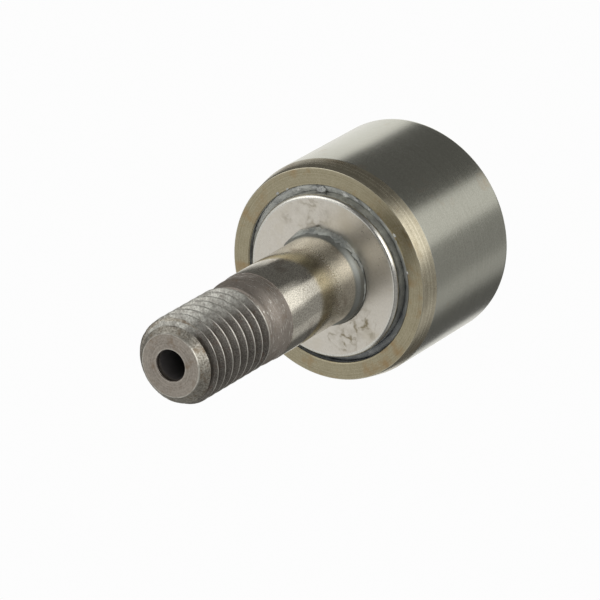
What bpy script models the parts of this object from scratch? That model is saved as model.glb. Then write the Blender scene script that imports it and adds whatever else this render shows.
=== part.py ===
"""Stud-type cam follower: a roller that turns on caged needles round a threaded stud.

The follower stands on its head, with the stud along +Z and the origin at the centre of the head's
flat face. Lengths are in metres. The sizes are those of a 5/8 in roller on a 1/4 in stud.
"""

import math

import bmesh
import bpy
from mathutils import Matrix, Vector

MM = 0.001
INCH = 25.4 * MM

# Driving dimensions
ROLLER_DIAMETER = 5 / 8 * INCH
ROLLER_WIDTH = 7 / 16 * INCH
STUD_DIAMETER = 1 / 4 * INCH
STUD_LENGTH = 3 / 4 * INCH  # from the end plate's face to the threaded end
THREAD_LENGTH = 5 / 16 * INCH
THREAD_PITCH = INCH / 28
NEEDLE_DIAMETER = 1.4 * MM
NEEDLE_COUNT = 16

# Clearances
PRESS_GAP = 0.02 * MM  # left between two pieces that are pressed together
RACE_PLAY = 0.02 * MM  # between a needle and each of its two raceways
POCKET_PLAY = 0.05 * MM  # between a needle and each side of its pocket in the cage
SHOULDER_PLAY = 0.2 * MM  # between the roller's recesses and the head or the end plate
CAGE_PLAY = 0.25 * MM  # between the cage and the head or the end plate

# Roller
ROLLER_RADIUS = ROLLER_DIAMETER / 2
OUTER_RACE_RADIUS = 5.6 * MM
RECESS_RADIUS = 6.42 * MM
RECESS_DEPTH = 1.2 * MM
RECESS_EDGE = 0.12 * MM
FRONT_TAPER_LENGTH = 1.35 * MM
FRONT_TAPER_RISE = 0.26 * MM
BACK_CHAMFER = 0.36 * MM

# Heights along the stud
HEAD_PROUD = 0.4 * MM  # how far the head stands out of the roller's back face
PLATE_PROUD = 0.6 * MM  # how far the end plate stands out of the roller's front face
ROLLER_BACK_Z = HEAD_PROUD
ROLLER_FRONT_Z = ROLLER_BACK_Z + ROLLER_WIDTH
HEAD_THICKNESS = HEAD_PROUD + RECESS_DEPTH - SHOULDER_PLAY
PLATE_FACE_Z = ROLLER_FRONT_Z + PLATE_PROUD
PLATE_THICKNESS = PLATE_PROUD + RECESS_DEPTH - SHOULDER_PLAY
PLATE_BACK_Z = PLATE_FACE_Z - PLATE_THICKNESS
STUD_END_Z = PLATE_FACE_Z + STUD_LENGTH
MID_RACE_Z = (HEAD_THICKNESS + PLATE_BACK_Z) / 2

# Head, end plate and the seat that the plate is pressed on
HEAD_RADIUS = 5.8 * MM
HEAD_CHAMFER = 0.3 * MM
SOCKET_ACROSS_FLATS = 1 / 8 * INCH
SOCKET_DEPTH = 2.2 * MM
PLATE_RADIUS = 5.9 * MM
PLATE_ROUND = 0.3 * MM
SEAT_RADIUS = 3.4 * MM
SEAT_PROUD = 0.7 * MM

# Needles and cage
NEEDLE_RADIUS = NEEDLE_DIAMETER / 2
NEEDLE_LENGTH = 7.1 * MM
NEEDLE_ROUND = 0.2 * MM
NEEDLE_CIRCLE_RADIUS = OUTER_RACE_RADIUS - RACE_PLAY - NEEDLE_RADIUS
INNER_RACE_RADIUS = NEEDLE_CIRCLE_RADIUS - NEEDLE_RADIUS - RACE_PLAY
CAGE_INNER_RADIUS = 4.5 * MM
CAGE_OUTER_RADIUS = 5.3 * MM
CAGE_LENGTH = PLATE_BACK_Z - HEAD_THICKNESS - 2 * CAGE_PLAY
POCKET_WIDTH = NEEDLE_DIAMETER + 2 * POCKET_PLAY
POCKET_LENGTH = NEEDLE_LENGTH + 2 * POCKET_PLAY

# Shank, collar and thread
SHANK_RADIUS = STUD_DIAMETER / 2
COLLAR_RADIUS = 3.12 * MM
COLLAR_LENGTH = 1.3 * MM
COLLAR_TAPER_LENGTH = 0.6 * MM
UNDERCUT_RADIUS = 2.85 * MM
UNDERCUT_WIDTH = 0.3 * MM
THREAD_RADIUS = 3.1 * MM
THREAD_DEPTH = 0.6134 * THREAD_PITCH
THREAD_ROOT_RADIUS = THREAD_RADIUS - THREAD_DEPTH
THREAD_ROOT_FLAT = THREAD_PITCH / 8
THREAD_FLANK_SLOPE = math.tan(math.radians(30))
THREAD_START_Z = STUD_END_Z - THREAD_LENGTH
END_FACE_RADIUS = 2.23 * MM
END_CHAMFER_LENGTH = 0.95 * MM
UNDERCUT_Z = THREAD_START_Z - UNDERCUT_WIDTH
COLLAR_END_Z = UNDERCUT_Z - COLLAR_TAPER_LENGTH
SHANK_END_Z = COLLAR_END_Z - COLLAR_LENGTH

# Lubrication hole, blind from the threaded end, and the hole that leads from it to the needles
LUBE_RADIUS = 1.1 * MM
LUBE_COUNTERSINK = 0.08 * MM
LUBE_BOTTOM_Z = MID_RACE_Z - 1.0 * MM  # below the cross hole
DRILL_TIP_SLOPE = math.tan(math.radians(31))
CROSS_HOLE_RADIUS = 0.5 * MM

# Facets
ROUND_STEPS = 64
STUD_STEPS = 40
NEEDLE_STEPS = 14
CUT_MARGIN = 0.5 * MM
GROOVE_MARGIN = 0.03 * MM  # how far the groove's cutter stands out of the thread's crest
MERGE_DISTANCE = 0.0001 * MM
SHARP_ANGLE = math.radians(30)


def clear_scene():
    for obj in list(bpy.data.objects):
        bpy.data.objects.remove(obj)


def make_material(name, colour, roughness, metallic=1.0):
    material = bpy.data.materials.new(name)
    material.use_nodes = True
    shader = material.node_tree.nodes["Principled BSDF"]
    shader.inputs["Base Color"].default_value = (*colour, 1.0)
    shader.inputs["Roughness"].default_value = roughness
    shader.inputs["Metallic"].default_value = metallic
    return material


def add_object(name, bm, material=None):
    """Merges the mesh's seams, points its faces outwards and puts it in the scene."""
    bmesh.ops.remove_doubles(bm, verts=bm.verts, dist=MERGE_DISTANCE)
    bmesh.ops.recalc_face_normals(bm, faces=bm.faces)
    mesh = bpy.data.meshes.new(name)
    bm.to_mesh(mesh)
    bm.free()
    if material:
        mesh.materials.append(material)
        mesh.shade_smooth()
        mesh.set_sharp_from_angle(angle=SHARP_ANGLE)
    obj = bpy.data.objects.new(name, mesh)
    bpy.context.scene.collection.objects.link(obj)
    return obj


def turned(profile, steps, closed=True):
    """A mesh turned round Z from (radius, height) points: a ring or, if open, axis to axis."""
    bm = bmesh.new()
    verts = [bm.verts.new((radius, 0, height)) for radius, height in profile]
    edges = [bm.edges.new(pair) for pair in zip(verts, verts[1:])]
    if closed:
        edges.append(bm.edges.new((verts[-1], verts[0])))
    bmesh.ops.spin(bm, geom=verts + edges, cent=(0, 0, 0), axis=(0, 0, 1), angle=2 * math.pi,
                   steps=steps, use_merge=True)
    return bm


def arc(centre, radius, start, end, steps):
    """(radius, height) points of a round stretch of a profile, with its angles in degrees."""
    angles = [math.radians(start + (end - start) * i / steps) for i in range(steps + 1)]
    return [(centre[0] + radius * math.cos(a), centre[1] + radius * math.sin(a)) for a in angles]


def as_cutter(obj):
    obj.hide_render = True
    obj.display_type = "WIRE"
    return obj


def cut(obj, cutter):
    modifier = obj.modifiers.new(f"cut {cutter.name}", "BOOLEAN")
    modifier.operation = "DIFFERENCE"
    modifier.solver = "EXACT"
    modifier.object = as_cutter(cutter)


def box(bm, size, centre, turn=0.0):
    place = Matrix.Rotation(turn, 4, "Z") @ Matrix.Translation(centre)
    bmesh.ops.create_cube(bm, size=1.0, matrix=place @ Matrix.Diagonal((*size, 1.0)))


def make_roller(material):
    front, back = ROLLER_FRONT_Z, ROLLER_BACK_Z
    profile = [
        (RECESS_RADIUS + RECESS_EDGE, back),
        (ROLLER_RADIUS - BACK_CHAMFER, back),
        (ROLLER_RADIUS, back + BACK_CHAMFER),
        (ROLLER_RADIUS, front - FRONT_TAPER_LENGTH),
        (ROLLER_RADIUS - FRONT_TAPER_RISE, front),
        (RECESS_RADIUS + RECESS_EDGE, front),
        (RECESS_RADIUS, front - RECESS_EDGE),
        (RECESS_RADIUS, front - RECESS_DEPTH),
        (OUTER_RACE_RADIUS, front - RECESS_DEPTH),
        (OUTER_RACE_RADIUS, back + RECESS_DEPTH),
        (RECESS_RADIUS, back + RECESS_DEPTH),
        (RECESS_RADIUS, back + RECESS_EDGE),
    ]
    return add_object("outer_ring", turned(profile, ROUND_STEPS), material)


def make_end_plate(material):
    rim = arc((PLATE_RADIUS - PLATE_ROUND, PLATE_FACE_Z - PLATE_ROUND), PLATE_ROUND, 0, 90, 3)
    bore = SEAT_RADIUS + PRESS_GAP
    profile = [(bore, PLATE_BACK_Z + PRESS_GAP), (PLATE_RADIUS, PLATE_BACK_Z + PRESS_GAP), *rim,
               (bore, PLATE_FACE_Z)]
    return add_object("end_plate", turned(profile, ROUND_STEPS), material)


def stud_profile():
    """Points from the head's centre, round the outside, to the bottom of the lubrication hole."""
    seat_end = PLATE_FACE_Z + SEAT_PROUD
    fillet = SEAT_RADIUS - SHANK_RADIUS
    return [
        (0, 0),
        (HEAD_RADIUS - HEAD_CHAMFER, 0),
        (HEAD_RADIUS, HEAD_CHAMFER),
        (HEAD_RADIUS, HEAD_THICKNESS),
        (INNER_RACE_RADIUS, HEAD_THICKNESS),
        (INNER_RACE_RADIUS, PLATE_BACK_Z),
        (SEAT_RADIUS, PLATE_BACK_Z),
        *arc((SEAT_RADIUS, seat_end + fillet), fillet, -90, -180, 3),
        (SHANK_RADIUS, SHANK_END_Z),
        (COLLAR_RADIUS, SHANK_END_Z + SHANK_RADIUS - COLLAR_RADIUS),
        (COLLAR_RADIUS, COLLAR_END_Z),
        (UNDERCUT_RADIUS, UNDERCUT_Z),
        (UNDERCUT_RADIUS, THREAD_START_Z),
        (THREAD_RADIUS, THREAD_START_Z + THREAD_RADIUS - UNDERCUT_RADIUS),
        (THREAD_RADIUS, STUD_END_Z - END_CHAMFER_LENGTH),
        (END_FACE_RADIUS, STUD_END_Z),
        (LUBE_RADIUS + LUBE_COUNTERSINK, STUD_END_Z),
        (LUBE_RADIUS, STUD_END_Z - LUBE_COUNTERSINK),
        (LUBE_RADIUS, LUBE_BOTTOM_Z),
        (0, LUBE_BOTTOM_Z - LUBE_RADIUS * DRILL_TIP_SLOPE),
    ]


def make_thread_cutter():
    """The helical groove between the turns of a right-hand 60 degree thread."""
    outer_radius = THREAD_RADIUS + GROOVE_MARGIN
    root_half = THREAD_ROOT_FLAT / 2
    outer_half = root_half + (outer_radius - THREAD_ROOT_RADIUS) * THREAD_FLANK_SLOPE
    start_z = THREAD_START_Z - UNDERCUT_WIDTH / 4
    turns = (STUD_END_Z + THREAD_PITCH - start_z) / THREAD_PITCH
    steps = round(turns * STUD_STEPS)
    corners = [(THREAD_ROOT_RADIUS, -root_half), (outer_radius, -outer_half),
               (outer_radius, outer_half), (THREAD_ROOT_RADIUS, root_half)]
    bm = bmesh.new()
    verts = [bm.verts.new((radius, 0, start_z + height)) for radius, height in corners]
    edges = [bm.edges.new((verts[i - 1], verts[i])) for i in range(4)]
    bmesh.ops.spin(bm, geom=verts + edges, cent=(0, 0, 0), axis=(0, 0, 1),
                   dvec=(0, 0, THREAD_PITCH / STUD_STEPS), angle=2 * math.pi * steps / STUD_STEPS,
                   steps=steps)
    bmesh.ops.holes_fill(bm, edges=[e for e in bm.edges if e.is_boundary], sides=4)
    half_facet = math.pi / STUD_STEPS  # keeps the groove's facets off the stud's own edges
    bmesh.ops.rotate(bm, verts=bm.verts, matrix=Matrix.Rotation(half_facet, 3, "Z"))
    return add_object("thread_cutter", bm)


def make_cross_hole_cutter():
    """A drilled hole from the lubrication hole to the raceway."""
    bm = bmesh.new()
    length = INNER_RACE_RADIUS + CUT_MARGIN
    place = Matrix.Translation((length / 2, 0, MID_RACE_Z)) @ Matrix.Rotation(math.pi / 2, 4, "Y")
    bmesh.ops.create_cone(bm, cap_ends=True, segments=NEEDLE_STEPS, radius1=CROSS_HOLE_RADIUS,
                          radius2=CROSS_HOLE_RADIUS, depth=length, matrix=place)
    return add_object("cross_hole_cutter", bm)


def make_socket_cutter():
    """The hexagon socket in the head, which holds the stud still while its nut is tightened."""
    bm = bmesh.new()
    height = SOCKET_DEPTH + CUT_MARGIN
    corner = SOCKET_ACROSS_FLATS / math.sqrt(3)
    bmesh.ops.create_cone(bm, cap_ends=True, segments=6, radius1=corner, radius2=corner,
                          depth=height, matrix=Matrix.Translation((0, 0, SOCKET_DEPTH - height / 2)))
    return add_object("socket_cutter", bm)


def make_stud(material):
    stud = add_object("stud", turned(stud_profile(), STUD_STEPS, closed=False), material)
    cut(stud, make_thread_cutter())
    cut(stud, make_cross_hole_cutter())
    cut(stud, make_socket_cutter())
    return stud


def make_cage(material):
    low, high = MID_RACE_Z - CAGE_LENGTH / 2, MID_RACE_Z + CAGE_LENGTH / 2
    profile = [(CAGE_INNER_RADIUS, low), (CAGE_OUTER_RADIUS, low), (CAGE_OUTER_RADIUS, high),
               (CAGE_INNER_RADIUS, high)]
    cage = add_object("cage", turned(profile, 4 * NEEDLE_COUNT), material)
    pockets = bmesh.new()
    depth = CAGE_OUTER_RADIUS - CAGE_INNER_RADIUS + 2 * CUT_MARGIN
    for number in range(NEEDLE_COUNT):
        size = (depth, POCKET_WIDTH, POCKET_LENGTH)
        centre = Vector(((CAGE_INNER_RADIUS + CAGE_OUTER_RADIUS) / 2, 0, MID_RACE_Z))
        box(pockets, size, centre, needle_angle(number))
    cut(cage, add_object("pocket_cutter", pockets))
    return cage


def needle_angle(number):
    """The first needle is half a space from +X, where the cross hole is."""
    return 2 * math.pi * (number + 0.5) / NEEDLE_COUNT


def make_needles(material):
    half = NEEDLE_LENGTH / 2
    shoulder = NEEDLE_RADIUS - NEEDLE_ROUND
    profile = [(0, -half), *arc((shoulder, NEEDLE_ROUND - half), NEEDLE_ROUND, -90, 0, 2),
               *arc((shoulder, half - NEEDLE_ROUND), NEEDLE_ROUND, 0, 90, 2), (0, half)]
    first = add_object("needle_01", turned(profile, NEEDLE_STEPS, closed=False), material)
    needles = [first]
    for number in range(1, NEEDLE_COUNT):
        needle = bpy.data.objects.new(f"needle_{number + 1:02d}", first.data)
        bpy.context.scene.collection.objects.link(needle)
        needles.append(needle)
    return needles


def pivot(name, parent=None):
    """An empty on the stud's axis, at the middle of the raceway, that a turning piece hangs from."""
    empty = bpy.data.objects.new(name, None)
    empty.location = (0, 0, 0) if parent else (0, 0, MID_RACE_Z)
    empty.parent = parent
    bpy.context.scene.collection.objects.link(empty)
    return empty


def hang(obj, empty):
    """Parents obj to a pivot and leaves it where it was modelled."""
    obj.parent = empty
    obj.location = Vector(obj.location) - Vector((0, 0, MID_RACE_Z))


def main():
    clear_scene()
    ground_steel = make_material("ground_steel", (0.42, 0.41, 0.39), 0.28)
    stud_steel = make_material("stud_steel", (0.30, 0.28, 0.26), 0.38)
    plate_steel = make_material("plate_steel", (0.62, 0.61, 0.58), 0.30)
    needle_steel = make_material("needle_steel", (0.66, 0.66, 0.66), 0.12)
    cage_steel = make_material("cage_steel", (0.36, 0.34, 0.30), 0.45)

    make_stud(stud_steel)
    make_end_plate(plate_steel)

    roller_pivot = pivot("roller_pivot")
    hang(make_roller(ground_steel), roller_pivot)

    cage_pivot = pivot("cage_pivot")
    hang(make_cage(cage_steel), cage_pivot)
    hang(bpy.data.objects["pocket_cutter"], cage_pivot)
    for number, needle in enumerate(make_needles(needle_steel)):
        angle = needle_angle(number)
        needle.parent = cage_pivot
        needle.location = (NEEDLE_CIRCLE_RADIUS * math.cos(angle),
                           NEEDLE_CIRCLE_RADIUS * math.sin(angle), 0)


main()
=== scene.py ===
"""The looks of a stud-type cam follower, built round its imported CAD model.

Lengths are in metres. The stud's axis is Z, with its threaded end up.
"""

import math

import bmesh
import bpy
from mathutils import Matrix, Vector, noise


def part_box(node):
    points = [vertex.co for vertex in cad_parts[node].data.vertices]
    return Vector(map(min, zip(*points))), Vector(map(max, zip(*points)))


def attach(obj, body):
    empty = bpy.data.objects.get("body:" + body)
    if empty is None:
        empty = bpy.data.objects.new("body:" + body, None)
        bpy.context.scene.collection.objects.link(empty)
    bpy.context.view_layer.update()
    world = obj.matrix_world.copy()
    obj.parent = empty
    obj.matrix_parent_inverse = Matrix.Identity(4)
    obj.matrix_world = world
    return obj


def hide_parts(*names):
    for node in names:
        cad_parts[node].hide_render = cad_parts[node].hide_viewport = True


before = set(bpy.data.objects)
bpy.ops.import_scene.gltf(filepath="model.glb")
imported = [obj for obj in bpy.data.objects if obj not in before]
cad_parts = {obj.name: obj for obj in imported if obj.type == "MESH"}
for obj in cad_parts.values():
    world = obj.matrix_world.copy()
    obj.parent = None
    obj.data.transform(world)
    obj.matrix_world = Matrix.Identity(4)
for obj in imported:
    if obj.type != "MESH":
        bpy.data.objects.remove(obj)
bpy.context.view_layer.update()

MM = 0.001
TURN = 2 * math.pi

# ---------------------------------------------------------------- sizes, from the frame and the design
RING_LOW, RING_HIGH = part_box("outer_ring")
PLATE_LOW, PLATE_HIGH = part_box("end_plate")
STUD_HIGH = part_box("stud")[1]
NEEDLE_NAMES = sorted(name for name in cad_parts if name.startswith("needle_"))

ROLLER_RADIUS = RING_HIGH.x
BACK_Z = RING_LOW.z
FRONT_Z = RING_HIGH.z
PLATE_RADIUS = PLATE_HIGH.x
PLATE_Z = PLATE_HIGH.z
PLATE_BACK_Z = PLATE_LOW.z
END_Z = STUD_HIGH.z
HEAD_RADIUS = STUD_HIGH.x

OUTER_RACE_RADIUS = 5.6 * MM
RECESS_RADIUS = 6.42 * MM
RECESS_DEPTH = 1.2 * MM
FRONT_TAPER_LENGTH = 1.35 * MM
FRONT_TAPER_RISE = 0.26 * MM
RECESS_EDGE = 0.12 * MM
RING_EDGE = 0.07 * MM
BACK_CHAMFER = 0.36 * MM
PLATE_RIM = 0.30 * MM
SEAT_RADIUS = 3.4 * MM
SEAT_PROUD = 0.7 * MM
SEAT_EASE_LOW = 0.25 * MM
PRESS_GAP = 0.02 * MM
INNER_RACE_RADIUS = 4.16 * MM
HEAD_THICKNESS = 1.4 * MM
SOCKET_APOTHEM = 25.4 / 16 * MM
SOCKET_DEPTH = 2.2 * MM
LUBE_RADIUS = 1.1 * MM
LUBE_EDGE = 0.07 * MM
LUBE_BOTTOM_Z = (HEAD_THICKNESS + PLATE_BACK_Z) / 2 - 1.0 * MM

SHANK_RADIUS = 25.4 / 8 * MM
COLLAR_RADIUS = 3.12 * MM
COLLAR_LENGTH = 1.3 * MM
COLLAR_TAPER = 0.6 * MM
UNDERCUT_RADIUS = 2.85 * MM
UNDERCUT_WIDTH = 0.3 * MM
THREAD_RADIUS = 3.1 * MM
THREAD_PITCH = 25.4 / 28 * MM
THREAD_DEPTH = 0.6134 * THREAD_PITCH
THREAD_Z = END_Z - 25.4 * 5 / 16 * MM
UNDERCUT_Z = THREAD_Z - UNDERCUT_WIDTH
COLLAR_TOP_Z = UNDERCUT_Z - COLLAR_TAPER
SHANK_TOP_Z = COLLAR_TOP_Z - COLLAR_LENGTH
END_FACE_RADIUS = 2.23 * MM
CHAMFER_LENGTH = 0.95 * MM
LAST_TURN_SHIFT = 0.27  # of the pitch
LAST_TURN_Z = END_Z - 1.05 * MM
LAST_TURN_EASE = 0.35 * MM
RUNOUT = 0.35 * THREAD_PITCH
DENT_LENGTH = 0.55 * MM
DENT_DEPTH = 0.05 * MM
BURR_LENGTH = 0.16 * MM

ROLLER_STEPS = 192
STUD_STEPS = 144


# ---------------------------------------------------------------- meshes
def finish_piece(name, bm, materials, body, replaced=(), sharp_degrees=32):
    """Makes the mesh an object that rides on its body, and hides the CAD nodes that it replaces."""
    mesh = bpy.data.meshes.new(name)
    bm.to_mesh(mesh)
    bm.free()
    for material in materials:
        mesh.materials.append(material)
    mesh.shade_smooth()
    mesh.set_sharp_from_angle(angle=math.radians(sharp_degrees))
    piece = bpy.data.objects.new(name, mesh)
    bpy.context.scene.collection.objects.link(piece)
    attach(piece, body)
    if replaced:
        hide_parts(*replaced)
    return piece


def arc(centre, radius, start, end, steps=5):
    """(radius, height) points of a rounded edge, with its angles in degrees."""
    angles = [math.radians(start + (end - start) * i / steps) for i in range(steps + 1)]
    return [(centre[0] + radius * math.cos(a), centre[1] + radius * math.sin(a)) for a in angles]


def turn(profile, steps, closed=True):
    """A mesh turned round Z from (radius, height) points: a ring or, if open, axis to axis."""
    bm = bmesh.new()
    verts = [bm.verts.new((radius, 0, height)) for radius, height in profile]
    edges = [bm.edges.new(pair) for pair in zip(verts, verts[1:])]
    if closed:
        edges.append(bm.edges.new((verts[-1], verts[0])))
    bmesh.ops.spin(bm, geom=verts + edges, cent=(0, 0, 0), axis=(0, 0, 1), angle=TURN,
                   steps=steps, use_merge=True)
    bmesh.ops.remove_doubles(bm, verts=bm.verts, dist=1e-8)
    bmesh.ops.recalc_face_normals(bm, faces=bm.faces)
    return bm


def eased(share):
    """A share that starts and ends gently, held between 0 and 1."""
    share = min(max(share, 0.0), 1.0)
    return share * share * (3 - 2 * share)


def soft_step(radius, to_radius, height, to_height, steps=8):
    """(radius, height) points of a shoulder that eases from one radius to another."""
    points = []
    for i in range(steps + 1):
        share = i / steps
        points.append((radius + eased(share) * (to_radius - radius),
                       height + share * (to_height - height)))
    return points


def reach(vert):
    """How far a vertex is from the stud's axis."""
    return math.hypot(vert.co.x, vert.co.y)


def set_reach(vert, radius):
    scale = radius / max(reach(vert), 1e-9)
    vert.co.x *= scale
    vert.co.y *= scale


def mark_faces(bm, index, test):
    """Gives the material with this index to each face whose middle (radius, height) passes test."""
    for face in bm.faces:
        middle = face.calc_center_median()
        if test(math.hypot(middle.x, middle.y), middle.z):
            face.material_index = index


# ---------------------------------------------------------------- the thread
def groove_shape(across):
    """The thread's radius a share of the pitch away from a groove's middle: round root, flat flank."""
    away = abs((across + 0.5) % 1.0 - 0.5)
    root_half, crest_half = 0.09, 0.435
    if away < root_half:
        return THREAD_RADIUS - THREAD_DEPTH * (1.0 - 0.10 * (away / root_half) ** 2)
    if away < crest_half:
        rise = (away - root_half) / (crest_half - root_half)
        return THREAD_RADIUS - THREAD_DEPTH * (0.90 - 0.84 * rise)
    rise = (away - crest_half) / (0.5 - crest_half)
    return THREAD_RADIUS - THREAD_DEPTH * 0.06 * (1.0 - rise) ** 2


def last_turn_shift(z):
    """The last groove sits closer to its neighbour, by a share of the pitch."""
    return LAST_TURN_SHIFT * eased((z - LAST_TURN_Z) / LAST_TURN_EASE)


def thread_envelope(z):
    """The largest radius that the blank leaves at this height: lead-in, full thread, end chamfer."""
    lead_in = UNDERCUT_RADIUS + max(0.0, z - THREAD_Z)
    slope = (THREAD_RADIUS - END_FACE_RADIUS) / CHAMFER_LENGTH
    chamfer = END_FACE_RADIUS + slope * max(0.0, END_Z - z)
    return min(lead_in, THREAD_RADIUS, chamfer)


def runout_floor(z):
    """Under the first turn the groove rises out of the root to the undercut."""
    share = min(max((z - THREAD_Z) / RUNOUT, 0.0), 1.0)
    return UNDERCUT_RADIUS - share * (UNDERCUT_RADIUS - (THREAD_RADIUS - THREAD_DEPTH))


def nick(point):
    """Small dents and burrs along the crests, in metres outwards."""
    coarse = noise.noise(point / DENT_LENGTH)
    fine = noise.noise(point / BURR_LENGTH + Vector((7, 3, 1)))
    dent = max(0.0, coarse - 0.42) * DENT_DEPTH
    return (0.010 * coarse + 0.007 * fine) * MM - dent


def thread_skin():
    """The threaded length as an open skin, from the undercut to the end face, without caps."""
    per_pitch = 20
    low = UNDERCUT_Z - 1.2 * THREAD_PITCH
    count = round((END_Z + 1.2 * THREAD_PITCH - low) / THREAD_PITCH * per_pitch)
    bm = bmesh.new()
    verts = [bm.verts.new((THREAD_RADIUS, 0, low + i * THREAD_PITCH / per_pitch))
             for i in range(count + 1)]
    edges = [bm.edges.new(pair) for pair in zip(verts, verts[1:])]
    bmesh.ops.spin(bm, geom=verts + edges, cent=(0, 0, 0), axis=(0, 0, 1), angle=TURN,
                   steps=STUD_STEPS, dvec=(0, 0, THREAD_PITCH / STUD_STEPS))
    bmesh.ops.remove_doubles(bm, verts=bm.verts, dist=0.001 * MM)
    for vert in bm.verts:
        angle = math.atan2(vert.co.y, vert.co.x) % TURN
        across = (vert.co.z - low) / THREAD_PITCH - angle / TURN + last_turn_shift(vert.co.z)
        radius = groove_shape(across)
        if THREAD_Z < vert.co.z and radius > THREAD_RADIUS - 0.4 * THREAD_DEPTH:
            radius += nick(vert.co)
        blank = thread_envelope(vert.co.z)
        if vert.co.z > END_Z - CHAMFER_LENGTH:
            blank += 1.3 * nick(vert.co)
        radius = min(max(radius, runout_floor(vert.co.z)), blank)
        set_reach(vert, radius)
    for height, up in ((END_Z, 1), (UNDERCUT_Z, -1)):
        bmesh.ops.bisect_plane(bm, geom=bm.verts[:] + bm.edges[:] + bm.faces[:],
                               plane_co=(0, 0, height), plane_no=(0, 0, up), clear_outer=True)
    return bm


def extend_rim(bm, rim, profile):
    """Draws a round rim of edges out through (radius, height) points, and returns the last rim."""
    for radius, height in profile:
        drawn = bmesh.ops.extrude_edge_only(bm, edges=rim)["geom"]
        for vert in (part for part in drawn if isinstance(part, bmesh.types.BMVert)):
            reached = radius(vert) if callable(radius) else radius
            set_reach(vert, reached)
            vert.co.z = height
        rim = [part for part in drawn if isinstance(part, bmesh.types.BMEdge)
               and all(abs(v.co.z - height) < 1e-9 for v in part.verts) and part.is_boundary]
    return rim


def close_rim(bm, rim, height):
    """Closes a round rim with a cone whose tip is on the axis."""
    drawn = bmesh.ops.extrude_edge_only(bm, edges=rim)["geom"]
    tips = [part for part in drawn if isinstance(part, bmesh.types.BMVert)]
    bmesh.ops.pointmerge(bm, verts=tips, merge_co=(0, 0, height))


def hexagon(apothem):
    """The reach of a hexagon's wall in a vertex's direction."""
    def at(vert):
        angle = (math.atan2(vert.co.y, vert.co.x) + TURN / 12) % (TURN / 6) - TURN / 12
        return apothem / math.cos(angle)
    return at


def rim_at(bm, height):
    return [e for e in bm.edges if e.is_boundary and all(abs(v.co.z - height) < 1e-6 for v in e.verts)]


def build_stud():
    bm = thread_skin()
    top = extend_rim(bm, rim_at(bm, END_Z), [
        (END_FACE_RADIUS - 0.04 * MM, END_Z),
        (LUBE_RADIUS + LUBE_EDGE, END_Z),
        *arc((LUBE_RADIUS + LUBE_EDGE, END_Z - LUBE_EDGE), LUBE_EDGE, 100, 180, 4),
        (LUBE_RADIUS, END_Z - 0.5 * MM),
        (LUBE_RADIUS, END_Z - 3 * MM),
        (LUBE_RADIUS, LUBE_BOTTOM_Z),
    ])
    close_rim(bm, top, LUBE_BOTTOM_Z - 0.66 * MM)
    seat_top = PLATE_Z + SEAT_PROUD
    fillet = SEAT_RADIUS - SHANK_RADIUS
    edge = 0.06 * MM
    bottom = extend_rim(bm, rim_at(bm, UNDERCUT_Z), [
        (COLLAR_RADIUS - 0.05 * MM, COLLAR_TOP_Z + 0.03 * MM),
        (COLLAR_RADIUS, COLLAR_TOP_Z - 0.06 * MM),
        (COLLAR_RADIUS, SHANK_TOP_Z + 0.5 * COLLAR_LENGTH),
        (COLLAR_RADIUS, SHANK_TOP_Z + 0.02 * MM),
        (SHANK_RADIUS - 0.015 * MM, SHANK_TOP_Z - 0.02 * MM),
        (SHANK_RADIUS, SHANK_TOP_Z - 0.06 * MM),
        (SHANK_RADIUS, (SHANK_TOP_Z + seat_top) / 2),
        *soft_step(SHANK_RADIUS, SEAT_RADIUS, seat_top + fillet, seat_top - SEAT_EASE_LOW),
        (SEAT_RADIUS, PLATE_BACK_Z),
        (INNER_RACE_RADIUS, PLATE_BACK_Z - 0.0001 * MM),
        (INNER_RACE_RADIUS, HEAD_THICKNESS + 0.05 * MM),
        (INNER_RACE_RADIUS + 0.05 * MM, HEAD_THICKNESS),
        (HEAD_RADIUS - edge, HEAD_THICKNESS - 0.0001 * MM),
        (HEAD_RADIUS, HEAD_THICKNESS - edge),
        (HEAD_RADIUS, 0.30 * MM),
        *arc((HEAD_RADIUS - 0.3 * MM, 0.3 * MM), 0.3 * MM, -15, -85, 5),
        (HEAD_RADIUS - 0.32 * MM, 0),
        (HEAD_RADIUS - 1.6 * MM, 0),
        (SOCKET_APOTHEM * 1.3, 0),
        (hexagon(SOCKET_APOTHEM + 0.05 * MM), 0.0001 * MM),
        (hexagon(SOCKET_APOTHEM), 0.05 * MM),
        (hexagon(SOCKET_APOTHEM), SOCKET_DEPTH),
    ])
    close_rim(bm, bottom, SOCKET_DEPTH + 0.5 * MM)
    bmesh.ops.dissolve_degenerate(bm, dist=1e-8, edges=bm.edges)
    bmesh.ops.recalc_face_normals(bm, faces=bm.faces)

    def on_chamfer(radius, z):
        return radius > thread_envelope(z) - 0.07 * MM

    black, end_face, hole, head, collar, chamfer = 1, 2, 3, 4, 5, 6
    mark_faces(bm, black, lambda r, z: z > THREAD_Z)
    mark_faces(bm, collar, lambda r, z: SHANK_TOP_Z < z < THREAD_Z + 0.22 * MM)
    mark_faces(bm, chamfer, lambda r, z: END_Z - 0.9 * MM < z and on_chamfer(r, z))
    mark_faces(bm, end_face, lambda r, z: z > END_Z - 0.001 * MM and r < 0.98 * END_FACE_RADIUS)
    mark_faces(bm, hole, lambda r, z: r < LUBE_RADIUS * 1.04 and z > LUBE_BOTTOM_Z - MM)
    mark_faces(bm, head, lambda r, z: z < HEAD_THICKNESS + 0.01 * MM)
    materials = [shank_satin(), thread_black(), stud_end_face(), hole_painted_shade(), head_face(),
                 collar_dull(), stud_chamfer()]
    return finish_piece("stud_steel", bm, materials, "stud", ["stud"], 34)


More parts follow.
